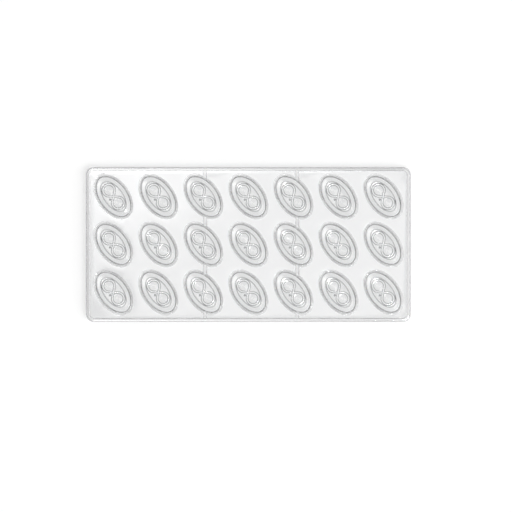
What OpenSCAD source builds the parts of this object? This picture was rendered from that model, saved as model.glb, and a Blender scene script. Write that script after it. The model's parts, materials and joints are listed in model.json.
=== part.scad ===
// Chocolate mould moulded in one piece from clear plastic.
// A thin plate carries rows of slanting oval cavities, open at the top. A skirt runs round
// the plate and stands on its lower edge, and two cross ribs stiffen the plate underneath.
// Millimetres. X runs along the mould, Y across it and Z up, with z = 0 where it stands.
// Depths are measured down from the top face.

/* [Plate] */
// Length of the mould, along X
mould_l = 275; // [272:1:360]
// Width of the mould, along Y
mould_w = 131; // [130:1:200]
// Height from the resting edge to the top face
mould_h = 24; // [18:0.5:36]
// Thickness of the top plate
plate_t = 2.4; // [1.8:0.1:4]
// Radius of the four upright corners, outside
corner_r = 6.6; // [5:0.2:12]
// Radius of the rounded edge round the top face
edge_r = 0.6; // [0.3:0.1:1.5]

/* [Skirt] */
// Thickness of the skirt wall
skirt_t = 3; // [2:0.1:3.6]

/* [Cavity grid] */
// Distance between neighbouring columns, along X
pitch_x = 38.15; // [36.5:0.05:50]
// Distance between neighbouring rows, along Y
pitch_y = 40.6; // [40:0.1:60]
// Turn of each oval's long axis, anticlockwise from +X
oval_turn = 126.5; // [110:0.5:140]
// Least clear space between the outer shells and the skirt
edge_gap = 0.8; // [0.5:0.1:5]

/* [Cavity] */
// Long diameter of the oval mouth
mouth_l = 41.2; // [39.2:0.2:42]
// Short diameter of the oval mouth
mouth_w = 25; // [23.4:0.2:26.2]
// Depth of the steep upper wall
wall_d = 7; // [5:0.2:7.2]
// How far the steep wall leans in over its depth, at the ends of the oval
wall_lean = 1.2; // [0.6:0.1:1.8]
// Width of the sloping shoulder under the wall, at the ends of the oval
shoulder_w = 1.4; // [0.7:0.1:1.7]
// Depth of the ledge below the top face
ledge_d = 8; // [7.6:0.1:8.6]
// Thickness of the shell round the mouth of a cavity and under its relief
shell_t = 1.2; // [1:0.1:1.8]
// How far the outside of the shell leans in from the plate to its foot, at the ends of the oval
cup_lean = 1.2; // [0.8:0.1:1.6]
// Bevel on the lower edge of the shell
cup_bevel = 0.8; // [0.4:0.1:1.2]

/* [Pan] */
// Long diameter of the inner oval pan, at the ledge
pan_l = 30.6; // [29.8:0.2:32]
// Short diameter of the inner oval pan, at the ledge
pan_w = 16.8; // [16.2:0.2:18]
// Depth of the pan floor below the top face
pan_d = 10; // [9.4:0.1:11]
// How far the pan wall leans in from ledge to floor, at the ends of the oval
pan_lean = 1.3; // [0.6:0.1:1.5]

/* [Relief] */
// Distance between the middles of the two loops of the figure of eight
loop_gap = 13.4; // [12.4:0.1:13.6]
// Radius of the middle line of each loop
loop_r = 5; // [4.4:0.1:5.2]
// Width of the ribbon where it leaves the pan floor
ribbon_w = 2.4; // [1.8:0.1:2.4]
// Width of the ribbon at its crest
crest_w = 1; // [0.8:0.1:1.4]
// Height of the ribbon from the pan floor
ribbon_d = 1.5; // [0.9:0.1:1.8]
// How far each side of the straight strands stands back from the loops
strand_step = 0.1; // [0.05:0.05:0.2]
// How much lower than the loops the strand is that passes under the other
under_step = 0.4; // [0.3:0.1:0.5]
// Radius of the round pearl inside each loop, at the pan floor
pearl_r = 3.4; // [2.4:0.1:3.5]
// Height of each pearl from the pan floor
pearl_d = 1.1; // [0.6:0.1:1.4]

/* [Ribs] */
// Distance between the two cross ribs
rib_gap = 78.1; // [60:0.1:100]
// How far the middle of the pair lies to +X of the middle of the mould
rib_shift = 2.35; // [-8:0.05:8]
// Thickness of a rib at its lower edge
rib_t = 1.6; // [1.2:0.1:3]
// Thickness of a rib where it meets the plate
rib_root_t = 2.2; // [1.6:0.1:3.6]
// Depth of the lower edge of a rib below the top face
rib_d = 12.5; // [8:0.5:16]
// Leg of the fillet between rib and plate
rib_fillet = 0.9; // [0.3:0.1:2]

/* [Hidden] */
// How far a shape runs into its neighbour, so that the two join or cut cleanly
lap = 0.5;
// How far a strand reaches into each loop
strand_lap = 0.3;
$fn = 96;

mouth_a = mouth_l / 2;
mouth_b = mouth_w / 2;
oval_ratio = mouth_b / mouth_a;
shell_ratio = (mouth_b + shell_t) / (mouth_a + shell_t);
pan_ratio = pan_w / pan_l;
wall_foot = mouth_a - wall_lean;
ledge_a = wall_foot - shoulder_w;
relief_depth = pan_d + max(ribbon_d, pearl_d);
shell_depth = relief_depth + shell_t;

// Half the space that a turned oval of half axes a and b takes along X and along Y
function half_x(a, b) = sqrt(pow(a * cos(oval_turn), 2) + pow(b * sin(oval_turn), 2));
function half_y(a, b) = sqrt(pow(a * sin(oval_turn), 2) + pow(b * cos(oval_turn), 2));
// How many cells of one pitch fit between the two skirt walls
function fitted(room, half, pitch) = 1 + floor((room - 2 * half) / pitch);

margin = skirt_t + edge_gap;
columns = fitted(mould_l - 2 * margin, half_x(mouth_a + shell_t, mouth_b + shell_t), pitch_x);
rows = fitted(mould_w - 2 * margin, half_y(mouth_a + shell_t, mouth_b + shell_t), pitch_y);
rib_places = [rib_shift - rib_gap / 2, rib_shift + rib_gap / 2];

// A rectangle with rounded corners, as a plane shape
module rounded_plan(l, w, r) {
    square([l - 2 * r, w], center = true);
    square([l, w - 2 * r], center = true);
    for (sx = [-1, 1], sy = [-1, 1])
        translate([sx * (l / 2 - r), sy * (w / 2 - r)]) circle(r);
}

// Half of an upright section that reaches out to x = reach, with its upper edge rounded
module rounded_half(reach) {
    square([reach, mould_h - edge_r]);
    square([reach - edge_r, mould_h]);
    translate([reach - edge_r, mould_h - edge_r]) circle(edge_r);
}

// The outer form of the mould: round upright corners and a rounded edge round the top face
module outer_form() {
    for (side = [0, 180])
        rotate(side) {
            rotate([90, 0, 0])
                linear_extrude(mould_w - 2 * corner_r, center = true) rounded_half(mould_l / 2);
            rotate([90, 0, 90])
                linear_extrude(mould_l - 2 * corner_r, center = true) rounded_half(mould_w / 2);
        }
    for (sx = [-1, 1], sy = [-1, 1])
        translate([sx * (mould_l / 2 - corner_r), sy * (mould_w / 2 - corner_r)])
            rotate_extrude() rounded_half(corner_r);
}

// The top plate with the skirt hanging from its rim
module tray() {
    difference() {
        outer_form();
        translate([0, 0, -lap]) linear_extrude(mould_h - plate_t + lap)
            rounded_plan(mould_l - 2 * skirt_t, mould_w - 2 * skirt_t, corner_r - skirt_t);
    }
}

// One cross rib, from skirt to skirt, thinner at its lower edge and with a fillet at the plate
module cross_rib() {
    root_z = mould_h - plate_t;
    flare = rib_root_t / 2 + rib_fillet;
    half_profile = [
        [rib_t / 2, mould_h - rib_d],
        [rib_root_t / 2, root_z - rib_fillet],
        [flare, root_z],
        [flare, root_z + lap]
    ];
    profile = concat(half_profile, [for (i = [3:-1:0]) [-half_profile[i][0], half_profile[i][1]]]);
    rotate([90, 0, 0])
        linear_extrude(mould_w - 2 * skirt_t + 2 * lap, center = true)
            polygon(profile);
}

// Puts its children at every cavity, with +X along the oval's long axis
module at_cavities() {
    for (i = [0:columns - 1], j = [0:rows - 1])
        translate([(i - (columns - 1) / 2) * pitch_x, (j - (rows - 1) / 2) * pitch_y, mould_h])
            rotate(oval_turn)
                children();
}

// The outside of the shell under one cavity: a cup that leans in a little, with a flat bottom
module shell() {
    cup_foot = mouth_a + shell_t - cup_lean;
    scale([1, shell_ratio, 1])
        rotate_extrude()
            polygon([
                [0, -shell_depth],
                [cup_foot - cup_bevel, -shell_depth],
                [cup_foot, -shell_depth + cup_bevel],
                [mouth_a + shell_t, -plate_t + lap],
                [0, -plate_t + lap]
            ]);
}

// The upper part of a cavity: a steep wall, a sloping shoulder and a flat ledge
module bowl() {
    over = lap * wall_lean / wall_d;
    scale([1, oval_ratio, 1])
        rotate_extrude()
            polygon([
                [0, -ledge_d],
                [ledge_a, -ledge_d],
                [wall_foot, -wall_d],
                [mouth_a + over, lap],
                [0, lap]
            ]);
}

// The oval pan that goes down from the ledge
module pan() {
    over = lap * pan_lean / (pan_d - ledge_d);
    scale([1, pan_ratio, 1])
        rotate_extrude()
            polygon([
                [0, -pan_d],
                [pan_l / 2 - pan_lean, -pan_d],
                [pan_l / 2 + over, -ledge_d + lap],
                [0, -ledge_d + lap]
            ]);
}

// The ribbon's section, with its middle at x = 0, made slimmer on each side and less high
module ribbon_section(slimmer = 0, lower = 0) {
    rise = ribbon_d - lower;
    foot = ribbon_w / 2 - slimmer;
    crest = crest_w / 2 - slimmer;
    over = lap * (foot - crest) / rise;
    polygon([
        [-crest, -pan_d - rise],
        [crest, -pan_d - rise],
        [foot + over, -pan_d + lap],
        [-foot - over, -pan_d + lap]
    ]);
}

// The figure of eight: two round loops joined by two straight strands, one crossing over the other
module ribbon() {
    half_gap = loop_gap / 2;
    open_angle = acos(loop_r / half_gap);
    strand_l = 2 * sqrt(half_gap * half_gap - loop_r * loop_r);
    for (side = [0, 180])
        rotate(side) translate([-half_gap, 0])
            rotate(open_angle)
                rotate_extrude(angle = 360 - 2 * open_angle)
                    translate([loop_r, 0]) ribbon_section();
    for (lean = [-1, 1])
        rotate(lean * open_angle)
            rotate([90, 0, 0])
                linear_extrude(strand_l + 2 * strand_lap, center = true)
                    ribbon_section(strand_step, lean > 0 ? strand_step : under_step);
}

// The two round pearls, each a cap of a large sphere in the middle of its loop
module pearls() {
    cap_r = (pearl_r * pearl_r + pearl_d * pearl_d) / (2 * pearl_d);
    for (side = [-1, 1])
        translate([side * loop_gap / 2, 0])
            rotate_extrude()
                intersection() {
                    translate([0, cap_r - pearl_d - pan_d]) circle(cap_r);
                    translate([0, -relief_depth - lap])
                        square([loop_r, relief_depth + 2 * lap - pan_d]);
                }
}

// The finished mould
module mould() {
    color([0.9, 0.92, 0.94, 0.45])
        difference() {
            union() {
                tray();
                for (x = rib_places) translate([x, 0]) cross_rib();
                at_cavities() shell();
            }
            at_cavities() bowl();
            at_cavities() pan();
            at_cavities() ribbon();
            at_cavities() pearls();
        }
}

mould();
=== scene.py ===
"""Models the clear plastic chocolate mould and sets it on a pale floor under soft studio light."""
import json
import math

import bpy
from bpy.props import FloatProperty, FloatVectorProperty, IntProperty, PointerProperty
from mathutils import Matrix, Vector


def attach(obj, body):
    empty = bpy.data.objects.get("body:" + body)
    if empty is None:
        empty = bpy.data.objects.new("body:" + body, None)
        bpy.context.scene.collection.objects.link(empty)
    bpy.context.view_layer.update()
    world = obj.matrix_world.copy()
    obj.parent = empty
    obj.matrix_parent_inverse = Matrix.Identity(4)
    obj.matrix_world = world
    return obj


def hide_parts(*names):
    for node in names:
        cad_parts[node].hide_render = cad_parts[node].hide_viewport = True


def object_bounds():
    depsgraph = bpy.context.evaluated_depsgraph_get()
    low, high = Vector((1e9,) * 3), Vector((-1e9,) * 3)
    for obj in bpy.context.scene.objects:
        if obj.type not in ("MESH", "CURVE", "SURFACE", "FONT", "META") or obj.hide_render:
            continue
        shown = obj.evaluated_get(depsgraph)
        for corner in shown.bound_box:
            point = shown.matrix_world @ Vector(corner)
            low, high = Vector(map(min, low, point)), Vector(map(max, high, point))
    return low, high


bl_info = {
    "name": "Chocolate mould",
    "version": (1, 0, 0),
    "blender": (4, 5, 0),
    "location": "View3D > Sidebar > Mould",
    "description": "Models a clear praline mould with slanting oval cavities, and its picture stage",
    "category": "Object",
}

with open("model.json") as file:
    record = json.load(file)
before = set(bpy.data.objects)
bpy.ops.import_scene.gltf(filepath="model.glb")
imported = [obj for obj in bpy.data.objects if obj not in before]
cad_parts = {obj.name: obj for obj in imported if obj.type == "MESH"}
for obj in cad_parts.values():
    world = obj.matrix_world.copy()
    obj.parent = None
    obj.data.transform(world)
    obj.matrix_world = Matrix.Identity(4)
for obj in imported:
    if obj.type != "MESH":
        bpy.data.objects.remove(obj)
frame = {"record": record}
FRAME_LOW, FRAME_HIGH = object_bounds()
MM = 0.001
# How far a shape runs into its neighbour, so that the two join cleanly
LAP = 0.4 * MM
# Distance under which two heights or corners count as one
TOUCH = 0.01 * MM


def frame_size(axis):
    """The frame's overall size along one axis."""
    return FRAME_HIGH[axis] - FRAME_LOW[axis]


class PlateSizes(bpy.types.PropertyGroup):
    """Sizes of the plate, its skirt and the cross ribs under it."""

    length: FloatProperty(
        name="Length", description="Length of the mould", default=frame_size(0), unit="LENGTH")
    width: FloatProperty(
        name="Width", description="Width of the mould", default=frame_size(1), unit="LENGTH")
    height: FloatProperty(
        name="Height", description="Height to the top face", default=frame_size(2), unit="LENGTH")
    thickness: FloatProperty(
        name="Plate thickness", description="Thickness of the top plate", default=2.4 * MM, unit="LENGTH")
    corner_radius: FloatProperty(
        name="Corner radius", description="Radius of the upright corners", default=6.6 * MM, unit="LENGTH")
    corner_steps: IntProperty(name="Corner steps", description="Steps round an upright corner", default=12)
    edge_radius: FloatProperty(
        name="Edge radius", description="Radius of the edge round the top face", default=1.3 * MM,
        unit="LENGTH")
    skirt: FloatProperty(
        name="Skirt thickness", description="Thickness of the skirt wall", default=3.0 * MM, unit="LENGTH")
    foot_bevel: FloatProperty(
        name="Foot bevel", description="Bevel on both edges of the skirt's foot", default=0.45 * MM,
        unit="LENGTH")
    inner_radius: FloatProperty(
        name="Inner radius", description="Fillet between skirt and plate, inside", default=0.5 * MM,
        unit="LENGTH")
    rib_gap: FloatProperty(
        name="Rib gap", description="Distance between the two cross ribs", default=78.1 * MM, unit="LENGTH")
    rib_shift: FloatProperty(
        name="Rib shift", description="Place of the middle of the pair along X", default=2.35 * MM,
        unit="LENGTH")
    rib_thickness: FloatProperty(
        name="Rib thickness", description="Thickness of a rib at its lower edge", default=1.6 * MM,
        unit="LENGTH")
    rib_root: FloatProperty(
        name="Rib root", description="Thickness of a rib under its fillet", default=2.2 * MM, unit="LENGTH")
    rib_fillet: FloatProperty(
        name="Rib fillet", description="Fillet between rib and plate", default=0.9 * MM, unit="LENGTH")
    rib_depth: FloatProperty(
        name="Rib depth", description="Depth of a rib's lower edge below the top face", default=12.5 * MM,
        unit="LENGTH")
    rib_rounding: FloatProperty(
        name="Rib rounding", description="Rounding of both lower edges of a rib", default=0.4 * MM,
        unit="LENGTH")


class CavitySizes(bpy.types.PropertyGroup):
    """Sizes of one oval cavity and of the shell round it, as long and short half diameters."""

    turn: FloatProperty(
        name="Turn", description="Turn of the long axis from +X", default=math.radians(126.5),
        subtype="ANGLE")
    mouth: FloatVectorProperty(
        name="Mouth", description="Half diameters of the mouth", size=2, default=(20.6 * MM, 12.5 * MM),
        unit="LENGTH")
    wall_foot: FloatVectorProperty(
        name="Wall foot", description="Half diameters at the foot of the steep wall", size=2,
        default=(19.4 * MM, 11.77 * MM), unit="LENGTH")
    wall_depth: FloatProperty(
        name="Wall depth", description="Depth of the steep wall", default=7.0 * MM, unit="LENGTH")
    ledge: FloatVectorProperty(
        name="Ledge", description="Half diameters at the ledge", size=2,
        default=(18.0 * MM, 10.8 * MM), unit="LENGTH")
    ledge_depth: FloatProperty(
        name="Ledge depth", description="Depth of the ledge", default=8.0 * MM, unit="LENGTH")
    ledge_fall: FloatProperty(
        name="Ledge fall", description="How far the ledge falls towards the pan", default=0.6 * MM,
        unit="LENGTH")
    pan: FloatVectorProperty(
        name="Pan", description="Half diameters of the inner pan at the ledge", size=2,
        default=(15.3 * MM, 8.4 * MM), unit="LENGTH")
    pan_floor: FloatVectorProperty(
        name="Pan floor", description="Half diameters of the pan floor", size=2,
        default=(14.0 * MM, 7.4 * MM), unit="LENGTH")
    pan_depth: FloatProperty(
        name="Pan depth", description="Depth of the pan floor", default=10.0 * MM, unit="LENGTH")
    pan_crown: FloatProperty(
        name="Pan crown", description="How much deeper the middle of the pan floor lies than its rim",
        default=0.15 * MM, unit="LENGTH")
    roundings: FloatVectorProperty(
        name="Roundings", description="Roundings of the profile, from the lip down to the pan floor",
        size=5, default=(0.3 * MM, 0.6 * MM, 0.5 * MM, 0.5 * MM, 0.4 * MM), unit="LENGTH")
    shell: FloatProperty(
        name="Shell", description="Thickness of the shell round a cavity", default=1.2 * MM,
        unit="LENGTH")
    shell_flare: FloatProperty(
        name="Shell flare", description="Fillet between shell and plate, underneath", default=0.3 * MM,
        unit="LENGTH")
    cup_lean: FloatProperty(
        name="Cup lean", description="How far the outside of the shell leans in from plate to foot",
        default=1.2 * MM, unit="LENGTH")
    cup_radius: FloatProperty(
        name="Cup radius", description="Rounding of the shell's lower edge", default=0.8 * MM,
        unit="LENGTH")
    shell_bottom: FloatProperty(
        name="Shell bottom", description="Depth of the shell's underside", default=12.7 * MM,
        unit="LENGTH")


class ReliefSizes(bpy.types.PropertyGroup):
    """Sizes of the figure of eight in the pan floor."""

    loop_gap: FloatProperty(
        name="Loop gap", description="Distance between the loops' middles", default=13.4 * MM,
        unit="LENGTH")
    loop_radius: FloatProperty(
        name="Loop radius", description="Radius of a loop's middle line", default=5.0 * MM,
        unit="LENGTH")
    width: FloatProperty(
        name="Ribbon width", description="Width of the ribbon at the pan floor", default=2.4 * MM,
        unit="LENGTH")
    crest: FloatProperty(
        name="Ribbon crest", description="Width of the ribbon at its crest", default=1.0 * MM,
        unit="LENGTH")
    crest_rounding: FloatProperty(
        name="Crest rounding", description="Rounding of both edges of the crest", default=0.3 * MM,
        unit="LENGTH")
    depth: FloatProperty(
        name="Ribbon depth", description="Depth of the ribbon below the pan floor", default=1.5 * MM,
        unit="LENGTH")
    dip: FloatProperty(
        name="Dip", description="How much shallower the lower strand is at the crossing",
        default=0.45 * MM, unit="LENGTH")
    pearl_radius: FloatProperty(
        name="Pearl radius", description="Radius of the pearl inside a loop", default=3.4 * MM,
        unit="LENGTH")
    pearl_depth: FloatProperty(
        name="Pearl depth", description="Depth of a pearl below the pan floor", default=1.1 * MM,
        unit="LENGTH")
    dimple_spot: FloatVectorProperty(
        name="Dimple spot", description="Place of the small dimple beside the crossing", size=2,
        default=(-0.3 * MM, 3.8 * MM), unit="LENGTH")
    dimple_radius: FloatProperty(
        name="Dimple radius", description="Radius of the dimple at the pan floor", default=1.06 * MM,
        unit="LENGTH")
    dimple_foot: FloatProperty(
        name="Dimple foot", description="Radius of the dimple at its bottom", default=0.21 * MM,
        unit="LENGTH")
    dimple_depth: FloatProperty(
        name="Dimple depth", description="Depth of the dimple below the pan floor", default=1.3 * MM,
        unit="LENGTH")
    oval_steps: IntProperty(name="Oval steps", description="Corners of an oval ring", default=80)
    loop_steps: IntProperty(
        name="Loop steps", description="Steps round a loop and round a pearl", default=28)
    strand_steps: IntProperty(name="Strand steps", description="Steps along a strand", default=8)
    ball_rings: IntProperty(
        name="Ball rings", description="Rings of the large ball that a pearl is cut from", default=36)


class PlasticFinishAndShade(bpy.types.PropertyGroup):
    """Finish of the clear plastic, and the painted shade on its slopes and walls."""

    tint: FloatVectorProperty(
        name="Tint", description="Colour of the plastic on level faces", subtype="COLOR", size=3,
        default=(0.975, 0.98, 0.985), min=0.0, max=1.0)
    # Painted shade: a near-black base colour on steep slopes, so that the relief's slopes look dark as
    # refraction and reflections would make them
    slope_painted_shade: FloatVectorProperty(
        name="Painted slope shade", description="Colour of the plastic on steep slopes, as in the relief",
        subtype="COLOR", size=3, default=(0.07, 0.075, 0.08), min=0.0, max=1.0)
    # Painted shade: upright walls get a slightly greyer base colour than level faces
    wall_painted_shade: FloatVectorProperty(
        name="Painted wall shade", description="Colour of the plastic on walls", subtype="COLOR",
        size=3, default=(0.94, 0.95, 0.96), min=0.0, max=1.0)
    # Leans at which the plastic's own tint and the painted shade on slopes and walls are full
    tint_and_shade_stops: FloatVectorProperty(
        name="Tint and shade stops", size=3, default=(0.17, 0.5, 0.85), min=0.0, max=1.0,
        description="Lean of a face where each of the three tints is full, from 0, level, to 1, upright")
    ior: FloatProperty(name="Refraction", description="Index of refraction", default=1.586)
    haze_scale: FloatProperty(
        name="Haze scale", description="Scale of the faint unevenness of the polish", default=60.0)
    haze: FloatProperty(
        name="Haze", description="Roughness where the polish is poorest", default=0.03, min=0.0, max=1.0,
        subtype="FACTOR")
    ray_turns: IntProperty(
        name="Ray turns", description="After so many turns a ray goes straight on through the plastic",
        default=3, min=1)
    lamp_through: FloatProperty(
        name="Lamp through", description="Share of lamp light that each face lets through straight on",
        default=0.86, min=0.0, max=1.0, subtype="FACTOR")
    lamp_glancing: FloatProperty(
        name="Lamp glancing", description="Share of lamp light that each face lets through at a graze",
        default=0.91, min=0.0, max=1.0, subtype="FACTOR")


class StageLook(bpy.types.PropertyGroup):
    """The floor, the light and the camera."""

    floor_colour: FloatVectorProperty(
        name="Floor colour", description="Colour of the pale floor", subtype="COLOR", size=3,
        default=(0.9, 0.9, 0.9), min=0.0, max=1.0)
    floor_glow: FloatProperty(
        name="Floor glow", description="Strength added to the floor where it is seen", default=0.12,
        min=0.0, max=1.0)
    sky: FloatProperty(
        name="Sky", description="Strength of the light from all round", default=0.25, min=0.0)
    side: FloatProperty(
        name="Side", description="Strength of the soft light from one side", default=5.5, min=0.0)
    side_way: FloatVectorProperty(
        name="Side way", description="Direction of the side light's middle, as a lean from straight up",
        size=2, default=(0.47, -0.17))
    side_spread: FloatProperty(
        name="Side spread", description="Where the side light ends, away from its middle",
        default=math.radians(23.0), subtype="ANGLE")
    panel: FloatProperty(
        name="Panel", description="Strength of the small round panel whose reflection fills the plate",
        default=1.3, min=0.0)
    panel_way: FloatVectorProperty(
        name="Panel way", description="Direction of the panel's middle, as a lean from straight up",
        size=2, default=(0.003, 0.0175))
    panel_spread: FloatProperty(
        name="Panel spread", description="Where the panel ends, away from its middle",
        default=math.radians(2.65), subtype="ANGLE")
    panel_core: FloatProperty(
        name="Panel core", description="Share of the panel's reach that is at full strength", default=0.75,
        min=0.0, max=1.0, subtype="FACTOR")
    window: FloatProperty(
        name="Window", description="Strength of the light whose edge brightens one corner of the plate",
        default=6.6, min=0.0)
    window_way: FloatVectorProperty(
        name="Window way", description="Direction of that light's middle, as a lean from straight up",
        size=2, default=(-0.042, 0.063))
    window_spread: FloatProperty(
        name="Window spread", description="Where that light ends, away from its middle",
        default=math.radians(4.1), subtype="ANGLE")
    horizon: FloatVectorProperty(
        name="Horizon", description="Heights, as sines, where the white horizon starts to fade and ends",
        size=2, default=(0.05, 0.15))
    lamp: FloatProperty(name="Softbox", description="Power of the softbox in watts", default=38.0, min=0.0)
    lamp_spot: FloatVectorProperty(
        name="Softbox spot", description="Place of the softbox, aimed at the origin", size=3,
        default=(0.33, -0.33, 2.6), unit="LENGTH")
    lamp_size: FloatProperty(
        name="Softbox size", description="Side of the softbox", default=0.3, unit="LENGTH")
    floor_size: FloatProperty(
        name="Floor size", description="Side of the floor", default=8.0, unit="LENGTH")
    camera_height: FloatProperty(
        name="Camera height", description="Height of the camera above the top face", default=4.0,
        unit="LENGTH")
    view_width: FloatProperty(
        name="View width", description="Width of the picture at the top face", default=433.4 * MM,
        unit="LENGTH")
    view_x: FloatProperty(
        name="View X", description="Place of the picture's middle along X", default=6.5 * MM,
        unit="LENGTH")
    view_y: FloatProperty(
        name="View Y", description="Place of the picture's middle along Y", default=-9.8 * MM,
        unit="LENGTH")


def put_down():
    """Leaves edit mode and selects nothing."""
    if bpy.context.mode != "OBJECT":
        bpy.ops.object.mode_set(mode="OBJECT")
    bpy.ops.object.select_all(action="DESELECT")


def pick_up(piece, kind="EDGE"):
    """Opens a piece in edit mode, to pick corners, edges or faces."""
    put_down()
    bpy.context.view_layer.objects.active = piece
    piece.select_set(True)
    bpy.context.tool_settings.mesh_select_mode = (kind == "VERT", kind == "EDGE", kind == "FACE")
    bpy.ops.object.mode_set(mode="EDIT")


def pick_parts(piece, kind, wanted):
    """Opens a piece in edit mode with only the corners or faces picked that are wanted."""
    put_down()
    mesh = piece.data
    for parts in (mesh.vertices, mesh.edges, mesh.polygons):
        parts.foreach_set("select", [False] * len(parts))
    for part in mesh.vertices if kind == "VERT" else mesh.polygons:
        part.select = wanted(part)
    pick_up(piece, kind)


def pick_all(piece, kind="EDGE"):
    """Opens a piece in edit mode with all of it picked."""
    pick_up(piece, kind)
    bpy.ops.mesh.select_all(action="SELECT")


def pick_open_edges(piece):
    """Opens a piece in edit mode with only its open edges picked."""
    pick_up(piece)
    bpy.ops.mesh.select_all(action="DESELECT")
    bpy.ops.mesh.select_non_manifold(
        use_wire=False, use_multi_face=False, use_non_contiguous=False, use_verts=False)


def face_outwards(piece):
    """Points all faces of a piece outwards."""
    pick_all(piece, "FACE")
    bpy.ops.mesh.normals_make_consistent(inside=False)
    put_down()


def place(piece, turn=0.0, spot=(0.0, 0.0, 0.0)):
    """Turns a piece about Z, moves it, and puts its place into its mesh."""
    put_down()
    bpy.context.view_layer.objects.active = piece
    piece.select_set(True)
    piece.rotation_euler.z += turn
    piece.location = Vector(piece.location) + Vector(spot)
    bpy.ops.object.transform_apply(location=True, rotation=True, scale=True)


def join(pieces):
    """Joins pieces into the first of them."""
    put_down()
    for piece in pieces:
        piece.select_set(True)
    bpy.context.view_layer.objects.active = pieces[0]
    bpy.ops.object.join()
    return pieces[0]


def unite(body, part, crossed=False):
    """Unites a part with a body and takes the part away."""
    put_down()
    bpy.context.view_layer.objects.active = body
    body.select_set(True)
    union = body.modifiers.new("union", "BOOLEAN")
    union.operation = "UNION"
    union.solver = "EXACT"
    union.use_self = crossed
    union.object = part
    bpy.ops.object.modifier_apply(modifier=union.name)
    bpy.data.objects.remove(part, do_unlink=True)


def rounded(points, radii, steps=3):
    """A profile with its inner corners rounded. Each point is (half length, half width, height)."""
    points = [Vector(p) for p in points]
    profile = [points[0]]
    for before, corner, after, radius in zip(points, points[1:], points[2:], radii):
        start = corner + (before - corner).normalized() * radius
        end = corner + (after - corner).normalized() * radius
        for k in range(steps + 1):
            t = k / steps
            profile.append(start * (1 - t) ** 2 + corner * 2 * t * (1 - t) + end * t ** 2)
    profile.append(points[-1])
    return profile


def stack_rings(name, rings, steps, capped):
    """Models an oval form, open at its first ring unless capped and closed at its last."""
    put_down()
    first = rings[0]
    bpy.ops.mesh.primitive_circle_add(vertices=steps, radius=1.0, location=(0.0, 0.0, first.z))
    form = bpy.context.object
    form.name = name
    form.scale = (first.x, first.y, 1.0)
    place(form)
    pick_all(form)
    for low, high in zip(rings[1:], rings):
        bpy.ops.mesh.extrude_region_move(TRANSFORM_OT_translate={"value": (0.0, 0.0, low.z - high.z)})
        bpy.ops.transform.resize(
            value=(low.x / high.x, low.y / high.y, 1.0), center_override=(0.0, 0.0, low.z))
    bpy.ops.mesh.edge_face_add()
    if capped:
        pick_open_edges(form)
        bpy.ops.mesh.edge_face_add()
        face_outwards(form)
    put_down()
    return form


def ribbon_tube(relief, floor):
    """A closed ribbon along the figure of eight, from just above the pan floor down to its crest."""
    half_gap = relief.loop_gap / 2
    radius = relief.loop_radius
    lead = math.acos(radius / half_gap)
    sweep = 2 * (math.pi - lead)
    start_angle = math.pi - lead
    start = Vector((half_gap + radius * math.cos(start_angle), radius * math.sin(start_angle), floor))
    top_width = relief.width + (relief.width - relief.crest) / relief.depth * LAP
    middle = start + Vector((0.0, 0.0, (LAP - relief.depth) / 2))
    put_down()
    bpy.ops.mesh.primitive_plane_add(size=1.0, location=middle, rotation=(math.pi / 2, 0.0, start_angle))
    tube = bpy.context.object
    tube.name = "ribbon"
    tube.scale = (top_width, relief.depth + LAP, 1.0)
    place(tube)
    pick_up(tube, "VERT")
    bpy.ops.mesh.delete(type="ONLY_FACE")
    pick_parts(tube, "VERT", lambda corner: corner.co.z < floor)
    slim = relief.crest / top_width
    bpy.ops.transform.resize(
        value=(slim, slim, 1.0), center_override=(start.x, start.y, floor - relief.depth))
    bpy.ops.mesh.bevel(offset=relief.crest_rounding, offset_type="OFFSET", segments=3, affect="VERTICES")
    bpy.ops.mesh.select_all(action="SELECT")
    steps = relief.strand_steps
    for side, dip in ((1, 0.0), (-1, relief.dip)):
        bpy.ops.mesh.spin(
            steps=relief.loop_steps, angle=side * sweep, center=(side * half_gap, 0.0, floor),
            axis=(0.0, 0.0, 1.0))
        way = Vector((-2 * side * start.x, 2 * start.y, 0.0)) / steps
        lift = 0.0
        for k in range(1, steps + 1):
            height = dip * math.sin(math.pi * k / steps) ** 2
            bpy.ops.mesh.extrude_region_move(
                TRANSFORM_OT_translate={"value": (way.x, way.y, height - lift)})
            lift = height
    bpy.ops.mesh.select_all(action="SELECT")
    bpy.ops.mesh.remove_doubles(threshold=TOUCH)
    face_outwards(tube)
    return tube


def pearl_cap(relief, floor, side):
    """The round pearl inside one loop, as the lower cap of a large ball."""
    ball_radius = (relief.pearl_radius ** 2 + relief.pearl_depth ** 2) / (2 * relief.pearl_depth)
    middle = floor - relief.pearl_depth + ball_radius
    put_down()
    bpy.ops.mesh.primitive_uv_sphere_add(
        segments=relief.loop_steps, ring_count=relief.ball_rings, radius=ball_radius,
        location=(side * relief.loop_gap / 2, 0.0, middle))
    pearl = bpy.context.object
    pearl.name = "pearl"
    place(pearl)
    pick_all(pearl, "FACE")
    bpy.ops.mesh.bisect(
        plane_co=(0.0, 0.0, floor + LAP), plane_no=(0.0, 0.0, 1.0), use_fill=True, clear_outer=True)
    put_down()
    return pearl


def crossing_dimple(relief, floor):
    """The small round dimple beside the crossing, wider at its mouth."""
    depth = relief.dimple_depth + LAP
    flare = (relief.dimple_radius - relief.dimple_foot) / relief.dimple_depth
    put_down()
    bpy.ops.mesh.primitive_cone_add(
        vertices=16, radius1=relief.dimple_foot, radius2=relief.dimple_foot + flare * depth, depth=depth,
        location=(*relief.dimple_spot, floor + LAP - depth / 2))
    dimple = bpy.context.object
    dimple.name = "dimple"
    place(dimple)
    return dimple


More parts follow.
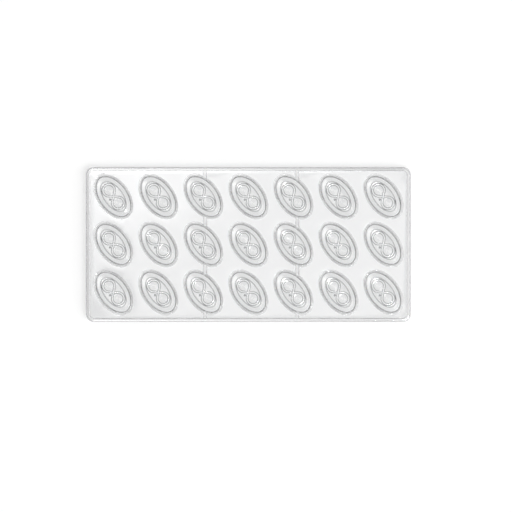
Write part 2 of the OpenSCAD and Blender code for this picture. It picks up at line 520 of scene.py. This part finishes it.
def cavity_skin(plate, cavity, relief):
    """The inner surface of one cavity, from its rounded lip down to the relief, open at the top."""
    top = plate.height
    floor = top - cavity.pan_depth
    lip = cavity.roundings[0]

    def crowned(share):
        """The ring of the pan floor at a share of its half diameters."""
        return Vector((share * cavity.pan_floor[0], share * cavity.pan_floor[1],
                       floor - (1 - share ** 2) * cavity.pan_crown))

    rings = rounded(
        [
            (cavity.mouth[0] + 2 * lip, cavity.mouth[1] + 2 * lip, top),
            (cavity.mouth[0], cavity.mouth[1], top),
            (cavity.wall_foot[0], cavity.wall_foot[1], top - cavity.wall_depth),
            (cavity.ledge[0], cavity.ledge[1], top - cavity.ledge_depth),
            (cavity.pan[0], cavity.pan[1], top - cavity.ledge_depth - cavity.ledge_fall),
            (cavity.pan_floor[0], cavity.pan_floor[1], floor),
            crowned(0.94),
        ],
        cavity.roundings)
    rings += [crowned(share) for share in (0.8, 0.6, 0.4, 0.2)]
    skin = stack_rings("cavity", rings[1:], relief.oval_steps, capped=True)
    unite(skin, ribbon_tube(relief, floor), crossed=True)
    for side in (-1, 1):
        unite(skin, pearl_cap(relief, floor, side))
    unite(skin, crossing_dimple(relief, floor))
    pick_parts(skin, "FACE", lambda face: face.center.z > top - TOUCH)
    bpy.ops.mesh.delete(type="FACE")
    put_down()
    return skin


def shell_skin(plate, cavity, relief):
    """The underside of the shell round one cavity, open where it meets the plate."""
    ceiling = plate.height - plate.thickness
    bottom = plate.height - cavity.shell_bottom
    root = cavity.mouth[0] + cavity.shell
    ratio = (cavity.mouth[1] + cavity.shell) / root
    flare = cavity.shell_flare
    foot = root - cavity.cup_lean
    # The first and the last point only give the directions of the ceiling and the bottom
    rings = rounded(
        [
            (root + 2 * flare, ratio * root + 2 * flare, ceiling),
            (root, ratio * root, ceiling),
            (foot, ratio * foot, bottom),
            (0.8 * foot, 0.8 * ratio * foot, bottom),
        ],
        [flare, cavity.cup_radius])
    return stack_rings("shell", rings[1:-1], relief.oval_steps, capped=False)


def tray_body(plate):
    """The skirt and the rim of the plate: closed above, and open where the plate's underside goes."""
    put_down()
    bpy.ops.mesh.primitive_plane_add(size=1.0, location=(0.0, 0.0, plate.foot_bevel))
    tray = bpy.context.object
    tray.name = "mould_body"
    tray.scale = (plate.length, plate.width, 1.0)
    place(tray)
    pick_all(tray, "VERT")
    bpy.ops.mesh.bevel(
        offset=plate.corner_radius, offset_type="OFFSET", segments=plate.corner_steps, affect="VERTICES")
    bpy.ops.mesh.select_all(action="SELECT")
    bevel = plate.foot_bevel
    wall = plate.height - plate.edge_radius - bevel
    bpy.ops.mesh.extrude_region_move(TRANSFORM_OT_translate={"value": (0.0, 0.0, wall)})
    pick_parts(tray, "FACE", lambda face: face.center.z > plate.height - 1.01 * plate.edge_radius)
    round_edge(plate.edge_radius, 1)
    face_outwards(tray)
    pick_parts(tray, "FACE", lambda face: face.center.z < 1.01 * bevel and abs(face.normal.z) > 0.9)
    bpy.ops.mesh.inset(thickness=bevel, depth=bevel)
    bpy.ops.mesh.inset(thickness=plate.skirt - 2 * bevel, depth=0.0)
    bpy.ops.mesh.inset(thickness=bevel, depth=-bevel)
    ceiling = plate.height - plate.thickness
    bpy.ops.mesh.extrude_region_move(
        TRANSFORM_OT_translate={"value": (0.0, 0.0, ceiling - plate.inner_radius - bevel)})
    round_edge(plate.inner_radius, -1)
    bpy.ops.mesh.delete(type="FACE")
    put_down()
    return tray


def round_edge(radius, way, steps=4):
    """Insets the picked flat face along a quarter circle, out of its walls (1) or into them (-1)."""
    for k in range(steps):
        a, b = (math.pi / 2 * n / steps for n in (k, k + 1))
        bpy.ops.mesh.inset(
            thickness=radius * (math.cos(a) - math.cos(b)), depth=way * radius * (math.sin(b) - math.sin(a)))


def cross_rib(plate, x):
    """One cross rib, with a rounded lower edge and a fillet at the plate."""
    ceiling = plate.height - plate.thickness
    low = plate.height - plate.rib_depth
    reach = plate.width - 2 * plate.skirt + 2 * LAP
    edge = plate.rib_rounding
    # Width and height of each stage of the rib, from its lower edge up
    stages = [(plate.rib_thickness - 2 * edge, low), (plate.rib_thickness - 0.6 * edge, low + 0.3 * edge),
              (plate.rib_thickness, low + edge), (plate.rib_root, ceiling - plate.rib_fillet)]
    fillet_steps = 3
    for k in range(1, fillet_steps + 1):
        a = math.pi / 2 * k / fillet_steps
        stages.append((plate.rib_root + 2 * plate.rib_fillet * (1 - math.cos(a)),
                       ceiling - plate.rib_fillet * (1 - math.sin(a))))
    stages.append((stages[-1][0], ceiling + LAP))
    put_down()
    bpy.ops.mesh.primitive_plane_add(size=1.0, location=(0.0, 0.0, stages[0][1]))
    rib = bpy.context.object
    rib.name = "rib"
    rib.scale = (stages[0][0], reach, 1.0)
    place(rib)
    pick_all(rib, "FACE")
    for (width, z), (last_width, last_z) in zip(stages[1:], stages):
        bpy.ops.mesh.extrude_region_move(TRANSFORM_OT_translate={"value": (0.0, 0.0, z - last_z)})
        bpy.ops.transform.resize(value=(width / last_width, 1.0, 1.0), center_override=(0.0, 0.0, z))
    face_outwards(rib)
    place(rib, spot=(x, 0.0, 0.0))
    return rib


def cavity_spots():
    """The middle of each cavity, from the record's openings."""
    spots = []
    for opening in frame["record"]["physics"]["openings"]:
        # A whole cavity is named by its row and its number, and an end of one has a longer name
        words = opening["name"].split("_")
        if words[0] == "cavity" and len(words) == 3:
            low, high = (Vector(corner) for corner in opening["box_m"])
            middle = (low + high) / 2
            spots.append((middle.x, middle.y, 0.0))
    if not spots:
        raise RuntimeError("the record names no cavity")
    return spots


def at_cavities(skin, spots):
    """Copies a skin to every cavity, each copy with its own mesh."""
    copies = []
    for spot in spots:
        copy = skin.copy()
        copy.data = skin.data.copy()
        bpy.context.collection.objects.link(copy)
        place(copy, spot=spot)
        copies.append(copy)
    bpy.data.objects.remove(skin, do_unlink=True)
    return copies


def fill_plane(piece):
    """Fills the flat face between all open rings of a piece."""
    pick_open_edges(piece)
    bpy.ops.mesh.fill(use_beauty=True)
    put_down()


def check_closed(piece):
    """Raises an error if an edge of the piece doesn't have exactly two faces."""
    uses = {}
    for face in piece.data.polygons:
        for key in face.edge_keys:
            uses[key] = uses.get(key, 0) + 1
    open_edges = sum(1 for n in uses.values() if n != 2)
    loose = len(piece.data.edges) - len(uses)
    if open_edges or loose:
        raise RuntimeError(f"{piece.name} has {open_edges} open edges and {loose} loose ones")


def finish_normals(piece):
    """Points the faces outwards and smooths the round parts, with flat faces kept flat."""
    crease = math.radians(38.0)
    face_outwards(piece)
    bpy.context.view_layer.objects.active = piece
    piece.select_set(True)
    bpy.ops.object.shade_smooth_by_angle(angle=crease)
    weighted = piece.modifiers.new("weighted", "WEIGHTED_NORMAL")
    weighted.keep_sharp = True
    bpy.ops.object.modifier_apply(modifier=weighted.name)


def math_node(tree, operation, first, second=0.0):
    """The output of one math node. Each side is a number or another node's output."""
    node = tree.nodes.new("ShaderNodeMath")
    node.operation = operation
    for socket, part in zip(node.inputs, (first, second)):
        if isinstance(part, (int, float)):
            socket.default_value = part
        else:
            tree.links.new(part, socket)
    return node.outputs["Value"]


def remapped(tree, value, source=(0.0, 1.0), result=(0.0, 1.0), smooth=False):
    """A value moved from one range to another. An end of a range may be another node's output."""
    node = tree.nodes.new("ShaderNodeMapRange")
    if smooth:
        node.interpolation_type = "SMOOTHSTEP"
    tree.links.new(value, node.inputs["Value"])
    for name, part in zip(("From Min", "From Max", "To Min", "To Max"), (*source, *result)):
        if isinstance(part, (int, float)):
            node.inputs[name].default_value = part
        else:
            tree.links.new(part, node.inputs[name])
    return node.outputs["Result"]


def new_material(name):
    """A material with an empty node tree, its tree, and the output's surface socket."""
    material = bpy.data.materials.new(name)
    material.use_nodes = True
    material.node_tree.nodes.clear()
    out = material.node_tree.nodes.new("ShaderNodeOutputMaterial")
    return material, material.node_tree, out.inputs["Surface"]


def clear_plastic(finish_and_shade):
    """Clear, colourless plastic with a high polish, with painted shade on its steep slopes and walls. Lamps
    reach what is behind it.
    """
    material, tree, surface = new_material("clear_plastic")
    nodes, links = tree.nodes, tree.links
    where = nodes.new("ShaderNodeTexCoord")
    body = nodes.new("ShaderNodeBsdfPrincipled")
    body.inputs["Transmission Weight"].default_value = 1.0
    body.inputs["IOR"].default_value = finish_and_shade.ior

    # Base colour by the lean of each face: the plastic's own tint on level faces, painted shade on slopes
    # and walls
    axes = nodes.new("ShaderNodeSeparateXYZ")
    links.new(where.outputs["Normal"], axes.inputs["Vector"])
    lean = math_node(tree, "SUBTRACT", 1.0, math_node(tree, "ABSOLUTE", axes.outputs["Z"]))
    lean_tint_and_shade = nodes.new("ShaderNodeValToRGB")
    stops = lean_tint_and_shade.color_ramp.elements
    level, slope, wall = finish_and_shade.tint_and_shade_stops
    stops[0].position, stops[0].color = level, (*finish_and_shade.tint, 1.0)
    stops[1].position, stops[1].color = wall, (*finish_and_shade.wall_painted_shade, 1.0)
    stops.new(slope).color = (*finish_and_shade.slope_painted_shade, 1.0)
    links.new(lean, lean_tint_and_shade.inputs["Fac"])
    links.new(lean_tint_and_shade.outputs["Color"], body.inputs["Base Color"])

    unevenness = nodes.new("ShaderNodeTexNoise")
    unevenness.inputs["Scale"].default_value = finish_and_shade.haze_scale
    unevenness.inputs["Detail"].default_value = 3.0
    links.new(where.outputs["Object"], unevenness.inputs["Vector"])
    links.new(remapped(tree, unevenness.outputs["Fac"], result=(0.0, finish_and_shade.haze)), body.inputs["Roughness"])

    glance = nodes.new("ShaderNodeLayerWeight")
    graze = 0.5
    lamp_way = nodes.new("ShaderNodeBsdfTransparent")
    passed = remapped(
        tree, glance.outputs["Facing"], (0.0, graze), (finish_and_shade.lamp_through, finish_and_shade.lamp_glancing))
    links.new(passed, lamp_way.inputs["Color"])
    path = nodes.new("ShaderNodeLightPath")
    lit = math_node(tree, "MAXIMUM", path.outputs["Is Shadow Ray"], path.outputs["Is Diffuse Ray"])
    spent = math_node(tree, "GREATER_THAN", path.outputs["Ray Depth"], finish_and_shade.ray_turns + 0.5)
    mix = nodes.new("ShaderNodeMixShader")
    links.new(math_node(tree, "MAXIMUM", lit, spent), mix.inputs["Fac"])
    links.new(body.outputs["BSDF"], mix.inputs[1])
    links.new(lamp_way.outputs["BSDF"], mix.inputs[2])
    links.new(mix.outputs["Shader"], surface)
    return material


def floor_paper(look):
    """White paper that stays white for the camera and keeps the mould's shadow."""
    material, tree, surface = new_material("floor_paper")
    paper = tree.nodes.new("ShaderNodeBsdfDiffuse")
    paper.inputs["Color"].default_value = (*look.floor_colour, 1.0)
    path = tree.nodes.new("ShaderNodeLightPath")
    seen = math_node(tree, "MAXIMUM", path.outputs["Is Camera Ray"], path.outputs["Is Glossy Ray"])
    seen = math_node(tree, "MAXIMUM", seen, path.outputs["Is Transmission Ray"])
    glow = tree.nodes.new("ShaderNodeEmission")
    glow.inputs["Color"].default_value = (1.0, 1.0, 1.0, 1.0)
    tree.links.new(math_node(tree, "MULTIPLY", seen, look.floor_glow), glow.inputs["Strength"])
    add = tree.nodes.new("ShaderNodeAddShader")
    tree.links.new(paper.outputs["BSDF"], add.inputs[0])
    tree.links.new(glow.outputs["Emission"], add.inputs[1])
    tree.links.new(add.outputs["Shader"], surface)
    return material


def soft_pool(tree, where, middle, spread, strength, core=0.0):
    """A round pool of light in the sky. It is full in its core and fades to nothing at its spread."""
    away = tree.nodes.new("ShaderNodeVectorMath")
    away.operation = "DISTANCE"
    away.inputs[1].default_value = Vector((middle[0], middle[1], 1.0)).normalized()
    tree.links.new(where.outputs["Generated"], away.inputs[0])
    reach = 2.0 * math.sin(spread / 2)
    return remapped(tree, away.outputs["Value"], (core * reach, reach), (strength, 0.0), smooth=True)


def studio_world(look):
    """Soft light from above, with a white horizon for the camera and for what the plastic shows of it."""
    world = bpy.data.worlds.new("studio")
    world.use_nodes = True
    tree = world.node_tree
    where = tree.nodes.new("ShaderNodeTexCoord")
    light = look.sky
    for pool in (
            soft_pool(tree, where, look.panel_way, look.panel_spread, look.panel, look.panel_core),
            soft_pool(tree, where, look.window_way, look.window_spread, look.window),
            soft_pool(tree, where, look.side_way, look.side_spread, look.side)):
        light = math_node(tree, "ADD", light, pool)
    axes = tree.nodes.new("ShaderNodeSeparateXYZ")
    tree.links.new(where.outputs["Generated"], axes.inputs["Vector"])
    near_horizon = remapped(tree, axes.outputs["Z"], look.horizon, (1.0, 0.0), smooth=True)
    path = tree.nodes.new("ShaderNodeLightPath")
    mirrored = math_node(tree, "MAXIMUM", path.outputs["Is Glossy Ray"], path.outputs["Is Transmission Ray"])
    horizon = math_node(tree, "MULTIPLY", mirrored, near_horizon)
    white = math_node(tree, "MAXIMUM", path.outputs["Is Camera Ray"], horizon)
    background = tree.nodes["Background"]
    background.inputs["Color"].default_value = (1.0, 1.0, 1.0, 1.0)
    tree.links.new(remapped(tree, white, result=(light, 1.0)), background.inputs["Strength"])
    return world


class MOULD_OT_body(bpy.types.Operator):
    """Model the mould as one closed piece of clear plastic"""

    bl_idname = "mould.body"
    bl_label = "Mould"

    def execute(self, context):
        plate = context.scene.mould_plate
        cavity = context.scene.mould_cavity
        relief = context.scene.mould_relief
        spots = cavity_spots()
        shell = shell_skin(plate, cavity, relief)
        place(shell, turn=cavity.turn)
        body = join([tray_body(plate)] + at_cavities(shell, spots))
        fill_plane(body)
        face_outwards(body)
        for side in (-1, 1):
            unite(body, cross_rib(plate, plate.rib_shift + side * plate.rib_gap / 2))
        top = plate.height - TOUCH
        pick_parts(body, "FACE", lambda face: face.center.z > top and face.normal.z > 0.9)
        bpy.ops.mesh.delete(type="FACE")
        skin = cavity_skin(plate, cavity, relief)
        place(skin, turn=cavity.turn)
        body = join([body] + at_cavities(skin, spots))
        fill_plane(body)
        body.name = "clear_mould"
        check_closed(body)
        finish_normals(body)
        body.data.materials.clear()
        body.data.materials.append(clear_plastic(context.scene.mould_finish))
        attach(body, "root")
        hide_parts("mould")
        return {"FINISHED"}


class MOULD_OT_stage(bpy.types.Operator):
    """Set the floor, the light and the camera"""

    bl_idname = "mould.stage"
    bl_label = "Stage"

    def execute(self, context):
        look = context.scene.mould_stage
        put_down()
        bpy.ops.mesh.primitive_plane_add(size=look.floor_size, location=(0.0, 0.0, 0.0))
        floor = context.object
        floor.name = "floor"
        floor.data.materials.append(floor_paper(look))
        bpy.ops.object.light_add(type="AREA", location=look.lamp_spot)
        lamp = context.object
        lamp.name = "softbox"
        lamp.data.shape = "SQUARE"
        lamp.data.size = look.lamp_size
        lamp.data.energy = look.lamp
        lamp.rotation_euler = (Vector((0.0, 0.0, 0.0)) - lamp.location).to_track_quat("-Z", "Y").to_euler()
        context.scene.world = studio_world(look)
        top = context.scene.mould_plate.height
        bpy.ops.object.camera_add(location=(look.view_x, look.view_y, top + look.camera_height))
        camera = context.object
        camera.rotation_euler = (0.0, 0.0, 0.0)
        camera.data.lens = camera.data.sensor_width * look.camera_height / look.view_width
        camera.data.clip_end = 50.0
        context.scene.camera = camera
        context.scene.view_settings.view_transform = "Standard"
        return {"FINISHED"}


class MOULD_PT_panel(bpy.types.Panel):
    """Lists the mould's pieces in the sidebar"""

    bl_idname = "MOULD_PT_panel"
    bl_label = "Chocolate mould"
    bl_space_type = "VIEW_3D"
    bl_region_type = "UI"
    bl_category = "Mould"

    def draw(self, context):
        for operator in (MOULD_OT_body, MOULD_OT_stage):
            self.layout.operator(operator.bl_idname)


SETTINGS = {
    "mould_plate": PlateSizes,
    "mould_cavity": CavitySizes,
    "mould_relief": ReliefSizes,
    "mould_finish": PlasticFinishAndShade,
    "mould_stage": StageLook,
}
CLASSES = (*SETTINGS.values(), MOULD_OT_body, MOULD_OT_stage, MOULD_PT_panel)


def register():
    """Registers the classes and puts the settings on the scene."""
    for cls in CLASSES:
        bpy.utils.register_class(cls)
    for name, group in SETTINGS.items():
        setattr(bpy.types.Scene, name, PointerProperty(type=group))


def unregister():
    """Takes the settings and the classes away again."""
    for name in SETTINGS:
        delattr(bpy.types.Scene, name)
    for cls in reversed(CLASSES):
        bpy.utils.unregister_class(cls)


def main():
    register()
    bpy.ops.mould.body()
    bpy.ops.mould.stage()


if __name__ == "__main__":
    main()
